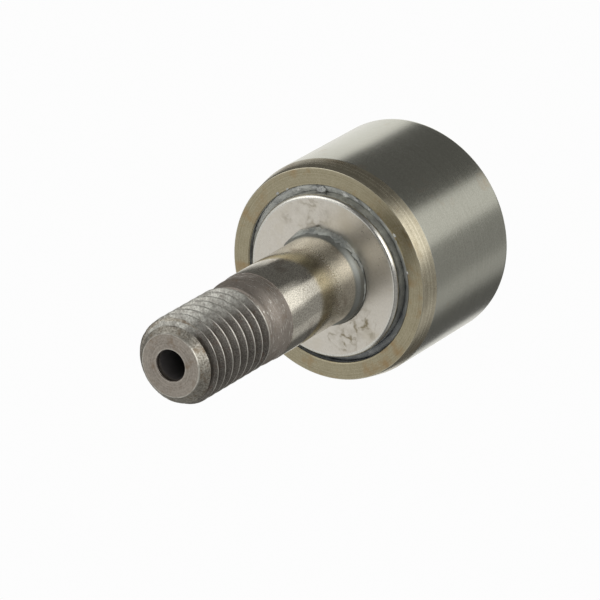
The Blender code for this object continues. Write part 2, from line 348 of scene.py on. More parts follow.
# ---------------------------------------------------------------- roller, plate and the inner pieces
def build_roller():
    edge = RING_EDGE
    taper_tip = (ROLLER_RADIUS - FRONT_TAPER_RISE, FRONT_Z)
    recess_floor_front = FRONT_Z - RECESS_DEPTH
    recess_floor_back = BACK_Z + RECESS_DEPTH
    profile = [
        (RECESS_RADIUS + RECESS_EDGE, BACK_Z),
        (ROLLER_RADIUS - BACK_CHAMFER - 0.03 * MM, BACK_Z),
        *arc((ROLLER_RADIUS - BACK_CHAMFER, BACK_Z + BACK_CHAMFER), BACK_CHAMFER, -80, -4, 8),
        (ROLLER_RADIUS, BACK_Z + BACK_CHAMFER + edge),
        (ROLLER_RADIUS, (BACK_Z + FRONT_Z) / 2),
        (ROLLER_RADIUS, FRONT_Z - FRONT_TAPER_LENGTH - edge),
        (ROLLER_RADIUS - 0.006 * MM, FRONT_Z - FRONT_TAPER_LENGTH + 0.4 * edge),
        (ROLLER_RADIUS - 0.5 * FRONT_TAPER_RISE, FRONT_Z - 0.48 * FRONT_TAPER_LENGTH),
        (taper_tip[0] + 0.02 * MM, FRONT_Z - 0.10 * MM),
        *arc((taper_tip[0] - edge, FRONT_Z - edge), edge, 10, 82, 4),
        (RECESS_RADIUS + 0.16 * MM, FRONT_Z),
        *arc((RECESS_RADIUS + RECESS_EDGE, FRONT_Z - RECESS_EDGE), RECESS_EDGE, 95, 175, 4),
        (RECESS_RADIUS, FRONT_Z - 0.2 * MM),
        (RECESS_RADIUS, recess_floor_front),
        (OUTER_RACE_RADIUS, recess_floor_front),
        (OUTER_RACE_RADIUS, recess_floor_back),
        (RECESS_RADIUS, recess_floor_back),
        (RECESS_RADIUS, BACK_Z + RECESS_EDGE),
    ]
    bm = turn(profile, ROLLER_STEPS)
    turned_face, bore, taper = 1, 2, 3
    taper_z = FRONT_Z - FRONT_TAPER_LENGTH + 0.3 * edge
    mark_faces(bm, turned_face, lambda r, z: z > FRONT_Z - 0.5 * edge or z < BACK_Z + 0.1 * MM)
    mark_faces(bm, taper, lambda r, z: taper_z < z < FRONT_Z - 0.5 * edge)
    mark_faces(bm, bore, lambda r, z: r < RECESS_RADIUS + 0.01 * MM)
    materials = [ground_outside(), turned_ring_face(), race_steel(), ground_taper()]
    return finish_piece("roller_ring", bm, materials, "roller", ["outer_ring"], 28)


def build_plate():
    bore = SEAT_RADIUS + PRESS_GAP
    rim = PLATE_RIM
    profile = [
        (bore, PLATE_BACK_Z),
        (PLATE_RADIUS - 0.1 * MM, PLATE_BACK_Z),
        (PLATE_RADIUS, PLATE_BACK_Z + 0.1 * MM),
        (PLATE_RADIUS, PLATE_Z - rim - 0.1 * MM),
        *arc((PLATE_RADIUS - rim, PLATE_Z - rim), rim, 2, 86, 8),
        (PLATE_RADIUS - rim - 0.02 * MM, PLATE_Z),
        (PLATE_RADIUS - rim - 0.04 * MM, PLATE_Z),
        ((PLATE_RADIUS + bore) / 2, PLATE_Z),
        (bore + 0.08 * MM, PLATE_Z),
        (bore, PLATE_Z - 0.06 * MM),
    ]
    bm = turn(profile, ROLLER_STEPS)
    mark_faces(bm, 1, lambda r, z: r > PLATE_RADIUS - 0.27 * MM or z < PLATE_Z - 0.3 * MM)
    return finish_piece("plate_steel", bm, [plate_satin(), plate_edge()], "stud",
                        ["end_plate"], 32)


def build_cage():
    """The cage keeps the CAD node's pockets; a copy of its mesh is merged and its edges rounded."""
    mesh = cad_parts["cage"].data.copy()
    bm = bmesh.new()
    bm.from_mesh(mesh)
    bpy.data.meshes.remove(mesh)
    bmesh.ops.remove_doubles(bm, verts=bm.verts, dist=0.0005 * MM)
    bmesh.ops.dissolve_limit(bm, angle_limit=math.radians(1), verts=bm.verts, edges=bm.edges)
    sharp = [e for e in bm.edges if e.is_manifold and e.calc_face_angle(0) > math.radians(40)]
    bmesh.ops.bevel(bm, geom=sharp, offset=0.05 * MM, segments=2, profile=0.5, material=-1,
                    affect="EDGES", clamp_overlap=True)
    bmesh.ops.recalc_face_normals(bm, faces=bm.faces)
    return finish_piece("cage_strip", bm, [cage_pressed()], "cage", ["cage"])


def build_needles():
    material = needle_ground()
    for name in NEEDLE_NAMES:
        low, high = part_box(name)
        radius, centre = (high.x - low.x) / 2, (low + high) / 2
        end = 0.2 * MM
        profile = [(0, low.z), (radius - end, low.z),
                   *arc((radius - end, low.z + end), end, -80, -8, 6),
                   (radius, low.z + end + 0.1 * MM), (radius, high.z - end - 0.1 * MM),
                   *arc((radius - end, high.z - end), end, 8, 80, 6),
                   (radius - end, high.z), (0, high.z)]
        bm = turn(profile, 40, closed=False)
        bmesh.ops.translate(bm, verts=bm.verts, vec=(centre.x, centre.y, 0))
        finish_piece(f"roller_{name}", bm, [material], name, [name])


# ---------------------------------------------------------------- grease
GREASE_GAP = 0.012 * MM  # left between grease and steel
GREASE_DEPTH = 0.57 * MM  # how far the thin side's grease lies under the ring's face
THICK_SIDE = math.radians(60)  # from -Y towards +X


def round_noise(where, scale, seed=0.0):
    """Smooth noise round the stud's axis, the same at every height."""
    return noise.noise(Vector((where.x, where.y, seed)) / scale)


def grease_facing(where):
    """From 0 on the thin side of the grease to 1 on the thick side."""
    around = math.atan2(where.x, -where.y)
    return 0.5 + 0.5 * math.cos(around - THICK_SIDE)


def build_gap_grease():
    """Grease pressed out of the gap between the roller and the end plate, in uneven lumps."""
    inner, outer = PLATE_RADIUS + GREASE_GAP, RECESS_RADIUS - GREASE_GAP
    top = FRONT_Z - GREASE_DEPTH
    floor = FRONT_Z - 0.95 * MM
    middle = (inner + outer) / 2
    profile = [(inner, floor), (outer, floor), (outer, top), (outer - 0.05 * MM, top + 0.03 * MM),
               (outer - 0.13 * MM, top + 0.05 * MM), (middle, top + 0.06 * MM),
               (inner + 0.13 * MM, top + 0.04 * MM), (inner + 0.05 * MM, top + 0.02 * MM),
               (inner, top)]
    bm = turn(profile, 480)
    for vert in bm.verts:
        if vert.co.z < top - 0.01 * MM:
            continue
        facing = grease_facing(vert.co)
        lump = round_noise(vert.co, 1.1 * MM) + 0.5 * round_noise(vert.co, 0.4 * MM, 5.0)
        side = 0.5 + 0.5 * math.cos(math.pi * (reach(vert) - inner) / (outer - inner))
        bank = 0.36 * facing ** 1.5 * (1.0 - 0.55 * side)
        vert.co.z += (bank + 0.16 * max(0.0, lump) * facing + 0.05 * lump) * MM
    return finish_piece("gap_grease", bm, [grease()], "stud", (), 60)


def build_lumps(name, body, lumps, material):
    """Small lumps of grease: (degrees from -Y towards +X, radius, height, size), in millimetres."""
    bm = bmesh.new()
    for around, radius, height, size in lumps:
        angle = math.radians(around)
        middle = Vector((radius * math.sin(angle), -radius * math.cos(angle), height)) * MM
        place = (Matrix.Translation(middle) @ Matrix.Rotation(angle, 4, "Z")
                 @ Matrix.Diagonal((1.5, 0.9, 0.75, 1.0)))
        made = bmesh.ops.create_icosphere(bm, subdivisions=4, radius=size * MM, matrix=place)
        for vert in made["verts"]:
            out = vert.co - middle
            bump = noise.noise(vert.co / (0.22 * MM)) + 0.5 * noise.noise(vert.co / (0.09 * MM))
            vert.co = middle + out * (1.0 + 0.4 * bump)
    bmesh.ops.recalc_face_normals(bm, faces=bm.faces)
    return finish_piece(name, bm, [material], body, (), 80)


def build_grease_lumps():
    front, plate = FRONT_Z / MM, PLATE_Z / MM
    build_lumps("gap_grease_lumps", "stud", [
        (59, 6.12, front - 0.12, 0.24), (64, 6.2, front - 0.14, 0.17), (41, 6.2, front - 0.08, 0.17),
        (33, 6.25, front - 0.14, 0.13), (77, 6.2, front - 0.15, 0.12), (22, 6.27, front - 0.15, 0.11),
    ], grease())
    build_lumps("ring_grease_lumps", "roller", [
        (0, 6.62, front + 0.0, 0.10), (-4, 6.5, front - 0.05, 0.09), (-24, 6.52, front - 0.03, 0.08),
        (92, 6.55, front + 0.0, 0.09), (84, 6.5, front - 0.02, 0.07),
    ], grease())
    build_lumps("foot_grease_lumps", "stud", [
        (2, 3.44, plate + 0.30, 0.17), (20, 3.42, plate + 0.46, 0.18), (31, 3.40, plate + 0.50, 0.15),
        (63, 3.45, plate + 0.40, 0.20),
    ], shaded_foot_grease())


def build_seat_grease():
    """The grease left round the foot of the shank, thick on one side and gone on the other."""
    foot = SEAT_RADIUS + GREASE_GAP
    low = PLATE_Z + 0.004 * MM
    wide, tall = 0.15 * MM, 0.64 * MM
    fillet = SEAT_RADIUS - SHANK_RADIUS
    ease_low = PLATE_Z + SEAT_PROUD - SEAT_EASE_LOW
    profile = [(foot, low), (foot + wide, low)]
    profile += [(foot + wide * math.cos(a), low + tall * math.sin(a))
                for a in (math.radians(step * 10) for step in range(1, 9))]
    profile.append((foot, low + tall))
    bm = turn(profile, 360)
    for vert in bm.verts:
        facing = grease_facing(vert.co)
        lump = round_noise(vert.co, 0.9 * MM) + 0.5 * round_noise(vert.co, 0.3 * MM, 4.0)
        size = min(max(0.05, 0.05 + 1.0 * facing ** 2.4 + 0.5 * lump * facing), 1.05)
        bump = 1.0 + 0.7 * noise.noise(vert.co / (0.25 * MM))
        out = (reach(vert) - foot) * size * bump
        vert.co.z = low + (vert.co.z - low) * size
        lean = fillet * eased((vert.co.z - ease_low) / (fillet + SEAT_EASE_LOW))
        set_reach(vert, foot - lean + out)
    return finish_piece("seat_grease", bm, [shaded_foot_grease()], "stud", (), 60)


# ---------------------------------------------------------------- shader parts
class Paint:
    """Adds nodes to one material's or one group's tree, and links them by name."""

    def __init__(self, tree):
        self.tree = tree

    def node(self, kind, values=None, **settings):
        made = self.tree.nodes.new(kind)
        for key, value in settings.items():
            setattr(made, key, value)
        for key, value in (values or {}).items():
            if isinstance(value, bpy.types.NodeSocket):
                self.tree.links.new(value, made.inputs[key])
            else:
                made.inputs[key].default_value = value
        return made

    def math(self, operation, a, b=0.0, clamp=False):
        made = self.node("ShaderNodeMath", {0: a, 1: b}, operation=operation, use_clamp=clamp)
        return made.outputs[0]

    def ramp(self, value, low, high, to_low=0.0, to_high=1.0):
        made = self.node("ShaderNodeMapRange", {"Value": value, "From Min": low, "From Max": high,
                                                "To Min": to_low, "To Max": to_high})
        return made.outputs["Result"]

    def smooth(self, value, low, high):
        """From 0 at low to 1 at high, easing in and out. low may be the larger of the two."""
        if low > high:
            return self.math("SUBTRACT", 1.0, self.smooth(value, high, low))
        made = self.node("ShaderNodeMapRange", {"Value": value, "From Min": low, "From Max": high},
                         interpolation_type="SMOOTHSTEP")
        return made.outputs["Result"]

    def mix(self, share, a, b):
        made = self.node("ShaderNodeMix", {0: share, 6: a, 7: b}, data_type="RGBA")
        return made.outputs[2]

    def noise(self, where, scale, detail=3.0, rough=0.55):
        made = self.node("ShaderNodeTexNoise", {"Vector": where, "Scale": scale,
                                                "Detail": detail, "Roughness": rough})
        return made.outputs["Fac"]

    def place(self):
        return self.node("ShaderNodeTexCoord").outputs["Object"]


def new_group(name, inputs, outputs):
    """A shader node group with named inputs (name, default) and outputs (name, kind)."""
    tree = bpy.data.node_groups.new(name, "ShaderNodeTree")
    for label, default in inputs:
        socket = tree.interface.new_socket(label, in_out="INPUT", socket_type="NodeSocketFloat")
        socket.default_value = default
    for label, kind in outputs:
        tree.interface.new_socket(label, in_out="OUTPUT", socket_type=kind)
    paint = Paint(tree)
    return paint, paint.node("NodeGroupInput"), paint.node("NodeGroupOutput")


def round_parts(paint):
    """The place, the distance from the stud's axis and the height, in millimetres."""
    place = paint.node("ShaderNodeVectorMath", {0: paint.place(), 3: 1 / MM}, operation="SCALE")
    apart = paint.node("ShaderNodeSeparateXYZ", {0: place.outputs[0]})
    flat = paint.node("ShaderNodeCombineXYZ", {0: apart.outputs[0], 1: apart.outputs[1]})
    length = paint.node("ShaderNodeVectorMath", {0: flat.outputs[0]}, operation="LENGTH")
    return place.outputs[0], length.outputs["Value"], apart.outputs[2]


def lathe_marks_group():
    """Fine rings that a lathe or a grinding wheel leaves, along the radius and the height."""
    paint, given, out = new_group("lathe_marks", [("Spacing", 0.1), ("Unevenness", 0.5)],
                                  [("Marks", "NodeSocketFloat")])
    place, radius, height = round_parts(paint)
    along = paint.node("ShaderNodeCombineXYZ", {0: radius, 1: height})
    scale = paint.math("DIVIDE", 1.0, given.outputs["Spacing"])
    stretched = paint.node("ShaderNodeVectorMath", {0: along.outputs[0], 3: scale},
                           operation="SCALE")
    rings = paint.noise(stretched.outputs[0], 1.0, 4.0, 0.65)
    patches = paint.noise(place, 1.3, 2.0)
    spread = paint.math("MULTIPLY", paint.math("SUBTRACT", patches, 0.5),
                        given.outputs["Unevenness"])
    marks = paint.math("ADD", rings, paint.math("MULTIPLY", spread, 0.5), clamp=True)
    paint.tree.links.new(marks, out.inputs["Marks"])
    return paint.tree


def stain_group():
    """Soft cloudy patches, such as heat tint, wiped oil and handling marks."""
    paint, given, out = new_group("stains", [("Size", 2.0), ("Cover", 0.5)],
                                  [("Stain", "NodeSocketFloat")])
    place, _, _ = round_parts(paint)
    scale = paint.math("DIVIDE", 1.0, given.outputs["Size"])
    cloud = paint.noise(place, scale, 5.0, 0.6)
    low = paint.math("SUBTRACT", 0.72, paint.math("MULTIPLY", given.outputs["Cover"], 0.44))
    share = paint.ramp(cloud, low, paint.math("ADD", low, 0.16))
    paint.tree.links.new(share, out.inputs["Stain"])
    return paint.tree


def speckle_group():
    """The fine bright and dark grains of a satin or blasted steel skin."""
    paint, given, out = new_group("speckle", [("Grain", 0.12)], [("Speckle", "NodeSocketFloat")])
    place, _, _ = round_parts(paint)
    scale = paint.math("DIVIDE", 1.0, given.outputs["Grain"])
    grains = paint.noise(place, scale, 2.0, 0.5)
    paint.tree.links.new(paint.ramp(grains, 0.32, 0.68), out.inputs["Speckle"])
    return paint.tree


def edge_wear_and_highlight_group():
    """A bright circle, partly steel rubbed at an edge and partly a painted edge highlight: Radius and
    Width in millimetres, broken up a little.
    """
    paint, given, out = new_group("edge_wear_and_highlight", [("Radius", 3.0), ("Width", 0.05)],
                                  [("WearAndHighlight", "NodeSocketFloat")])
    place, radius, _ = round_parts(paint)
    away = paint.math("ABSOLUTE", paint.math("SUBTRACT", radius, given.outputs["Radius"]))
    share = paint.math("DIVIDE", away, given.outputs["Width"])
    bright_marks = paint.ramp(share, 0.5, 1.0, 1.0, 0.0)
    broken = paint.ramp(paint.noise(place, 1.6, 4.0, 0.6), 0.30, 0.55, 0.35, 1.0)
    paint.tree.links.new(paint.math("MULTIPLY", bright_marks, broken), out.inputs["WearAndHighlight"])
    return paint.tree


def scratch_group():
    """Short light scratches that run round the stud."""
    paint, given, out = new_group("scratches", [("Cover", 0.3)], [("Scratch", "NodeSocketFloat")])
    place, _, _ = round_parts(paint)
    along = paint.node("ShaderNodeVectorMath", {0: place, 1: (0.9, 0.9, 9.0)}, operation="MULTIPLY")
    lines = paint.noise(along.outputs[0], 1.4, 3.0, 0.7)
    low = paint.math("SUBTRACT", 0.74, paint.math("MULTIPLY", given.outputs["Cover"], 0.2))
    paint.tree.links.new(paint.ramp(lines, low, paint.math("ADD", low, 0.03)),
                         out.inputs["Scratch"])
    return paint.tree


LATHE_MARKS = lathe_marks_group()
STAINS = stain_group()
SPECKLE = speckle_group()
EDGE_WEAR_AND_HIGHLIGHT = edge_wear_and_highlight_group()
SCRATCHES = scratch_group()


def use(paint, tree, output, **values):
    """Places a shared group with its own values, and returns its output."""
    made = paint.node("ShaderNodeGroup", node_tree=tree)
    for label, value in values.items():
        made.inputs[label].default_value = value
    return made.outputs[output]


SMUDGE_BROWN = (0.215, 0.175, 0.095)
PLATE_SMUDGES = ((4.1, -1.9, 1.7, 0.6), (4.9, -0.4, 1.2, 0.6), (-4.1, -0.6, 1.7, 1.0),
                 (-4.2, 1.2, 1.6, 1.0))


def smudge_share(paint, x, y, size, strength):
    """How much of the brown veins of one dried oil mark covers the surface round its middle."""
    place, _, _ = round_parts(paint)
    flat = paint.node("ShaderNodeVectorMath", {0: place, 1: (1, 1, 0)}, operation="MULTIPLY")
    away = paint.node("ShaderNodeVectorMath", {0: flat.outputs[0], 1: (x, y, 0)},
                      operation="DISTANCE")
    near = paint.ramp(away.outputs["Value"], 0.35 * size, size, strength, 0.0)
    wander = paint.node("ShaderNodeTexNoise", {"Vector": flat.outputs[0], "Scale": 0.62,
                                               "Detail": 3.0, "Roughness": 0.6, "Distortion": 0.5})
    middle = paint.math("ABSOLUTE", paint.math("SUBTRACT", wander.outputs["Fac"], 0.5))
    veins = paint.ramp(middle, 0.006, 0.085, 0.90, 0.0)
    blotch = paint.ramp(paint.noise(flat.outputs[0], 1.1, 3.0), 0.45, 0.62)
    halo = paint.math("MULTIPLY", blotch, 0.20)
    broken = paint.ramp(blotch, 0.0, 0.6, 0.25, 1.0)
    mark = paint.math("MAXIMUM", paint.math("MULTIPLY", veins, broken), halo)
    return paint.math("MULTIPLY", near, mark)


def steel(name, light, dark, roughness, spacing, mark_depth, stain_colour=None, stain_cover=0.45,
          stain_size=2.0, grain=0.12, grain_depth=0.002, metallic=1.0, rough_spread=0.10,
          marks_in_colour=0.6, smudges=(), wear_and_highlight_rings=(), wear_and_highlight_colour=(0.80, 0.78, 0.72), worn_roughness=0.3,
          root_shade=None, scratch_cover=0.0, grease_film=None):
    """A machined steel: lathe rings, speckle and stains in its colour, roughness and bump.

    light and dark are the two colours that the marks run between. Depths are in millimetres.
    smudges are (x, y, size, strength) of dried oil marks on a flat face, and wear_and_highlight_rings
    (radius, width) of the circles, in millimetres, that are partly steel rubbed bright and partly a
    painted edge highlight.
    root_shade is the (low, high) radius between which painted shade fades out of a groove, and
    grease_film the (bare, covered) heights; the steel is duller just over such a film."""
    material = bpy.data.materials.new(name)
    material.use_nodes = True
    paint = Paint(material.node_tree)
    shader = material.node_tree.nodes["Principled BSDF"]
    marks = use(paint, LATHE_MARKS, "Marks", Spacing=spacing, Unevenness=0.5)
    speckle = use(paint, SPECKLE, "Speckle", Grain=grain)
    tone = paint.math("ADD", paint.math("MULTIPLY", marks, marks_in_colour),
                      paint.math("MULTIPLY", speckle, 1.0 - marks_in_colour))
    colour = paint.mix(paint.ramp(tone, 0.25, 0.75), (*dark, 1), (*light, 1))
    stain = use(paint, STAINS, "Stain", Size=stain_size, Cover=stain_cover)
    if stain_colour:
        colour = paint.mix(paint.math("MULTIPLY", stain, 0.75), colour, (*stain_colour, 1))
    for smudge in smudges:
        colour = paint.mix(smudge_share(paint, *smudge), colour, (*SMUDGE_BROWN, 1))
    rough = paint.ramp(paint.math("ADD", tone, paint.math("MULTIPLY", stain, 0.5)), 0.0, 1.5,
                       roughness - rough_spread / 2, roughness + rough_spread)
    # painted shade: a darker colour fades out of the groove roots
    if root_shade:
        _, radius, _ = round_parts(paint)
        shade_share = paint.ramp(radius, *root_shade, 0.85, 0.0)
        colour = paint.mix(shade_share, colour, (0.10, 0.085, 0.07, 1))
    if grease_film:
        _, _, height = round_parts(paint)
        wet = paint.smooth(height, *grease_film)
        colour = paint.mix(paint.math("MULTIPLY", wet, 0.85), colour, (0.225, 0.24, 0.235, 1))
        foot = paint.smooth(height, grease_film[0] + 3.6, grease_film[0] + 0.8)
        rough = paint.math("ADD", rough, paint.math("MULTIPLY", foot, 0.20))
        rough = paint.ramp(wet, 0.0, 1.0, rough, 0.45)
    # scratches and bright rings lighten the colour; the rings are partly edge wear, partly painted edge
    # highlights
    bright_marks = []
    if scratch_cover:
        bright_marks.append(use(paint, SCRATCHES, "Scratch", Cover=scratch_cover))
    for radius, width in wear_and_highlight_rings:
        bright_marks.append(use(paint, EDGE_WEAR_AND_HIGHLIGHT, "WearAndHighlight", Radius=radius, Width=width))
    for share in bright_marks:
        colour = paint.mix(share, colour, (*wear_and_highlight_colour, 1))
        rough = paint.ramp(share, 0.0, 1.0, rough, worn_roughness)
    height = paint.math("ADD", paint.math("MULTIPLY", marks, mark_depth),
                        paint.math("MULTIPLY", speckle, grain_depth))
    bump = paint.node("ShaderNodeBump", {"Height": height, "Distance": MM, "Strength": 1.0})
    links = material.node_tree.links
    links.new(colour, shader.inputs["Base Color"])
    links.new(rough, shader.inputs["Roughness"])
    links.new(bump.outputs[0], shader.inputs["Normal"])
    shader.inputs["Metallic"].default_value = metallic
    return material


# ---------------------------------------------------------------- finishes
def ground_outside():
    return steel("ground_outside", (0.56, 0.56, 0.50), (0.465, 0.465, 0.405), 0.21, 0.10, 0.0006,
                 (0.50, 0.42, 0.32), 0.22, 2.4, grain=0.10, grain_depth=0.0006)


def turned_ring_face():
    # the bright ring at the face's outer edge is partly wear, partly a painted highlight line
    return steel("turned_ring_face", (0.52, 0.475, 0.35), (0.28, 0.245, 0.16), 0.30, 0.09, 0.0028,
                 (0.36, 0.25, 0.13), 0.46, 1.5, grain=0.10, grain_depth=0.0012,
                 marks_in_colour=0.8, smudges=((-0.4, -7.0, 1.3, 0.9),), wear_and_highlight_rings=((7.64, 0.035),),
                 wear_and_highlight_colour=(0.62, 0.58, 0.46))


def ground_taper():
    return steel("ground_taper", (0.82, 0.76, 0.60), (0.38, 0.34, 0.25), 0.26, 0.16, 0.0026,
                 (0.40, 0.32, 0.20), 0.40, 1.8, grain=0.10, grain_depth=0.0008,
                 marks_in_colour=0.85)


def race_steel():
    return steel("race_steel", (0.50, 0.50, 0.49), (0.36, 0.36, 0.36), 0.22, 0.08, 0.0008)


def plate_satin():
    return steel("plate_satin", (0.77, 0.735, 0.68), (0.71, 0.675, 0.62), 0.30, 0.14, 0.0002,
                 (0.69, 0.645, 0.56), 0.50, 2.4, grain=0.16, grain_depth=0.0,
                 marks_in_colour=0.5, smudges=PLATE_SMUDGES)


def plate_edge():
    return steel("plate_edge", (0.82, 0.81, 0.77), (0.62, 0.61, 0.57), 0.20, 0.12, 0.0004,
                 grain_depth=0.0008)


def shank_satin():
    film = (PLATE_Z / MM + 1.05, PLATE_Z / MM + 0.8)
    return steel("shank_satin", (0.785, 0.75, 0.665), (0.51, 0.48, 0.42), 0.125, 0.15, 0.0005,
                 (0.33, 0.27, 0.215), 0.36, 1.6, grain=0.09, grain_depth=0.0011,
                 marks_in_colour=0.3, grease_film=film)


def collar_dull():
    return steel("collar_dull", (0.48, 0.435, 0.395), (0.335, 0.295, 0.265), 0.60, 0.07, 0.0018,
                 (0.30, 0.235, 0.18), 0.35, 0.9, grain=0.09, grain_depth=0.004,
                 wear_and_highlight_colour=(0.84, 0.82, 0.78), scratch_cover=0.70)


def paint_side_highlight(material, around):
    """Paints a highlight on a steel's crests and flanks, on the side at an angle from -Y towards +X: a
    lighter colour there, broken into patches.
    """
    paint = Paint(material.node_tree)
    shader = material.node_tree.nodes["Principled BSDF"]
    place, _, _ = round_parts(paint)
    way = (math.sin(math.radians(around)), -math.cos(math.radians(around)), 0)
    level = paint.node("ShaderNodeVectorMath", {0: place, 1: (1, 1, 0)}, operation="MULTIPLY")
    level = paint.node("ShaderNodeVectorMath", {0: level.outputs[0]}, operation="NORMALIZE")
    facing = paint.node("ShaderNodeVectorMath", {0: level.outputs[0], 1: way},
                        operation="DOT_PRODUCT").outputs["Value"]
    side = paint.smooth(facing, math.cos(math.radians(64)), math.cos(math.radians(30)))
    patches = paint.ramp(paint.noise(place, 1.7, 4.0, 0.65), 0.36, 0.58, 0.42, 1.0)
    # painted highlight: the lit side gets a lighter colour
    bright_marks = paint.math("MULTIPLY", side, patches)
    bare = shader.inputs["Base Color"].links[0].from_socket
    bright = paint.mix(use(paint, SPECKLE, "Speckle", Grain=0.14), (0.44, 0.43, 0.40, 1),
                       (0.80, 0.80, 0.76, 1))
    material.node_tree.links.new(paint.mix(bright_marks, bare, bright), shader.inputs["Base Color"])
    return material


def thread_black():
    """Blackened steel, with a painted highlight on one side, painted shade in its groove roots, and a
    bright crest ring that is partly wear, partly a painted highlight.
    """
    black = steel("thread_black", (0.31, 0.29, 0.268), (0.115, 0.106, 0.097), 0.50, 0.06, 0.0020,
                  (0.18, 0.11, 0.075), 0.34, 0.7, grain=0.09, grain_depth=0.009,
                  wear_and_highlight_rings=((3.10, 0.038),), wear_and_highlight_colour=(0.74, 0.72, 0.67), worn_roughness=0.42,
                  root_shade=(2.58, 2.90))
    # painted highlight on the side 72 degrees from -Y towards +X
    return paint_side_highlight(black, 72)


def stud_end_face():
    # the bright rings at the face's edge and at the hole's mouth are partly wear, partly painted edge
    # highlights
    return steel("stud_end_face", (0.48, 0.435, 0.39), (0.25, 0.225, 0.20), 0.42, 0.11, 0.0050,
                 (0.25, 0.19, 0.14), 0.42, 0.8, grain=0.12, grain_depth=0.004,
                 marks_in_colour=0.75, wear_and_highlight_rings=((2.20, 0.04), (1.16, 0.04)),
                 wear_and_highlight_colour=(0.60, 0.57, 0.52), worn_roughness=0.38)


def stud_chamfer():
    # the bright ring at the chamfer's edge is partly wear, partly painted glints
    return steel("stud_chamfer", (0.57, 0.545, 0.49), (0.22, 0.20, 0.17), 0.44, 0.12, 0.0050,
                 (0.24, 0.185, 0.13), 0.42, 0.7, grain=0.12, grain_depth=0.007,
                 marks_in_colour=0.55, wear_and_highlight_rings=((2.25, 0.05),), wear_and_highlight_colour=(0.66, 0.64, 0.59),
                 worn_roughness=0.36)


def hole_painted_shade():
    """The hole's wall is bare steel at its mouth, with painted shade below: a dark, non-metal colour
    deeper in.
    """
    material = steel("hole_painted_shade", (0.40, 0.36, 0.32), (0.24, 0.21, 0.19), 0.45, 0.10, 0.002)
    paint = Paint(material.node_tree)
    shader = material.node_tree.nodes["Principled BSDF"]
    _, _, height = round_parts(paint)
    # painted shade darkens the wall below the mouth
    shade_share = paint.smooth(height, END_Z / MM - 0.20, END_Z / MM - 0.55)
    bare = shader.inputs["Base Color"].links[0].from_socket
    material.node_tree.links.new(paint.mix(shade_share, bare, (0.085, 0.080, 0.082, 1)),
                                 shader.inputs["Base Color"])
    material.node_tree.links.new(paint.math("SUBTRACT", 1.0, shade_share), shader.inputs["Metallic"])
    return material


def head_face():
    return steel("head_face", (0.56, 0.53, 0.46), (0.42, 0.39, 0.33), 0.30, 0.09, 0.002,
                 (0.30, 0.23, 0.15), 0.45, 2.2)


def needle_ground():
    return steel("needle_ground", (0.70, 0.70, 0.69), (0.58, 0.58, 0.57), 0.14, 0.12, 0.0004)


def cage_pressed():
    return steel("cage_pressed", (0.38, 0.36, 0.31), (0.26, 0.24, 0.20), 0.42, 0.2, 0.0015,
                 (0.20, 0.16, 0.11), 0.5, 1.5)


def grease(name="grease", dark=(0.42, 0.435, 0.435), light=(0.66, 0.68, 0.66)):
    """Blue-grey grease: a wet paste, with a darker painted shade where it lies low in the gap."""
    known = bpy.data.materials.get(name)
    if known:
        return known
    material = bpy.data.materials.new(name)
    material.use_nodes = True
    paint = Paint(material.node_tree)
    shader = material.node_tree.nodes["Principled BSDF"]
    place, _, _ = round_parts(paint)
    cloud = paint.noise(place, 0.8, 3.0)
    colour = paint.mix(paint.ramp(cloud, 0.36, 0.62), (*dark, 1), (*light, 1))
    height = paint.node("ShaderNodeSeparateXYZ", {0: place}).outputs[2]
    gap_top = FRONT_Z / MM
    # painted shade: darker blue-grey where the grease lies low between roller and plate
    gap_shade = paint.ramp(height, gap_top - 0.56, gap_top - 0.40, 1.0, 0.0)
    colour = paint.mix(paint.math("MULTIPLY", gap_shade, 0.85), colour, (0.080, 0.092, 0.115, 1))
    fine = paint.noise(place, 3.5, 3.0)
    bump = paint.node("ShaderNodeBump", {"Height": paint.math("MULTIPLY", fine, 0.03),
                                         "Distance": MM, "Strength": 1.0})
    links = material.node_tree.links
    links.new(colour, shader.inputs["Base Color"])
    links.new(paint.ramp(cloud, 0.3, 0.7, 0.16, 0.36), shader.inputs["Roughness"])
    links.new(bump.outputs[0], shader.inputs["Normal"])
    shader.inputs["Metallic"].default_value = 0.0
    shader.inputs["IOR"].default_value = 1.47
    return material


def shaded_foot_grease():
    """The thinner grease at the foot of the shank: a darker, greyer copy of the grease, as painted shade
    against the stronger light there.
    """
    return grease("shaded_foot_grease", (0.20, 0.212, 0.206), (0.46, 0.48, 0.455))


# ---------------------------------------------------------------- studio
CAMERA_HEIGHT_ANGLE = math.radians(52.0)
CAMERA_DISTANCE = 361.3 * MM
CAMERA_ROLL = math.radians(120.3)
LENS = 318.0
CAMERA_SHIFT = (-0.0004, 0.0010)
AIM = Vector((-0.61 * MM, 0, FRONT_Z + 4.15 * MM))


def aim_at(obj, position, target, roll=0.0):
    """Puts an object somewhere, looking along its own -Z at a target, turned about that line."""
    look = (target - position).to_track_quat("-Z", "Y").to_matrix().to_4x4()
    obj.matrix_world = Matrix.Translation(position) @ look @ Matrix.Rotation(roll, 4, "Z")


def add_camera():
    camera = bpy.data.cameras.new("camera")
    camera.lens = LENS
    camera.sensor_width = 36.0
    camera.shift_x = CAMERA_SHIFT[0]
    camera.shift_y = CAMERA_SHIFT[1]
    camera.clip_start = 0.01
    obj = bpy.data.objects.new("camera", camera)
    bpy.context.scene.collection.objects.link(obj)
    out = Vector((0, -math.cos(CAMERA_HEIGHT_ANGLE), math.sin(CAMERA_HEIGHT_ANGLE)))
    aim_at(obj, AIM + out * CAMERA_DISTANCE, AIM, -CAMERA_ROLL)
    bpy.context.scene.camera = obj


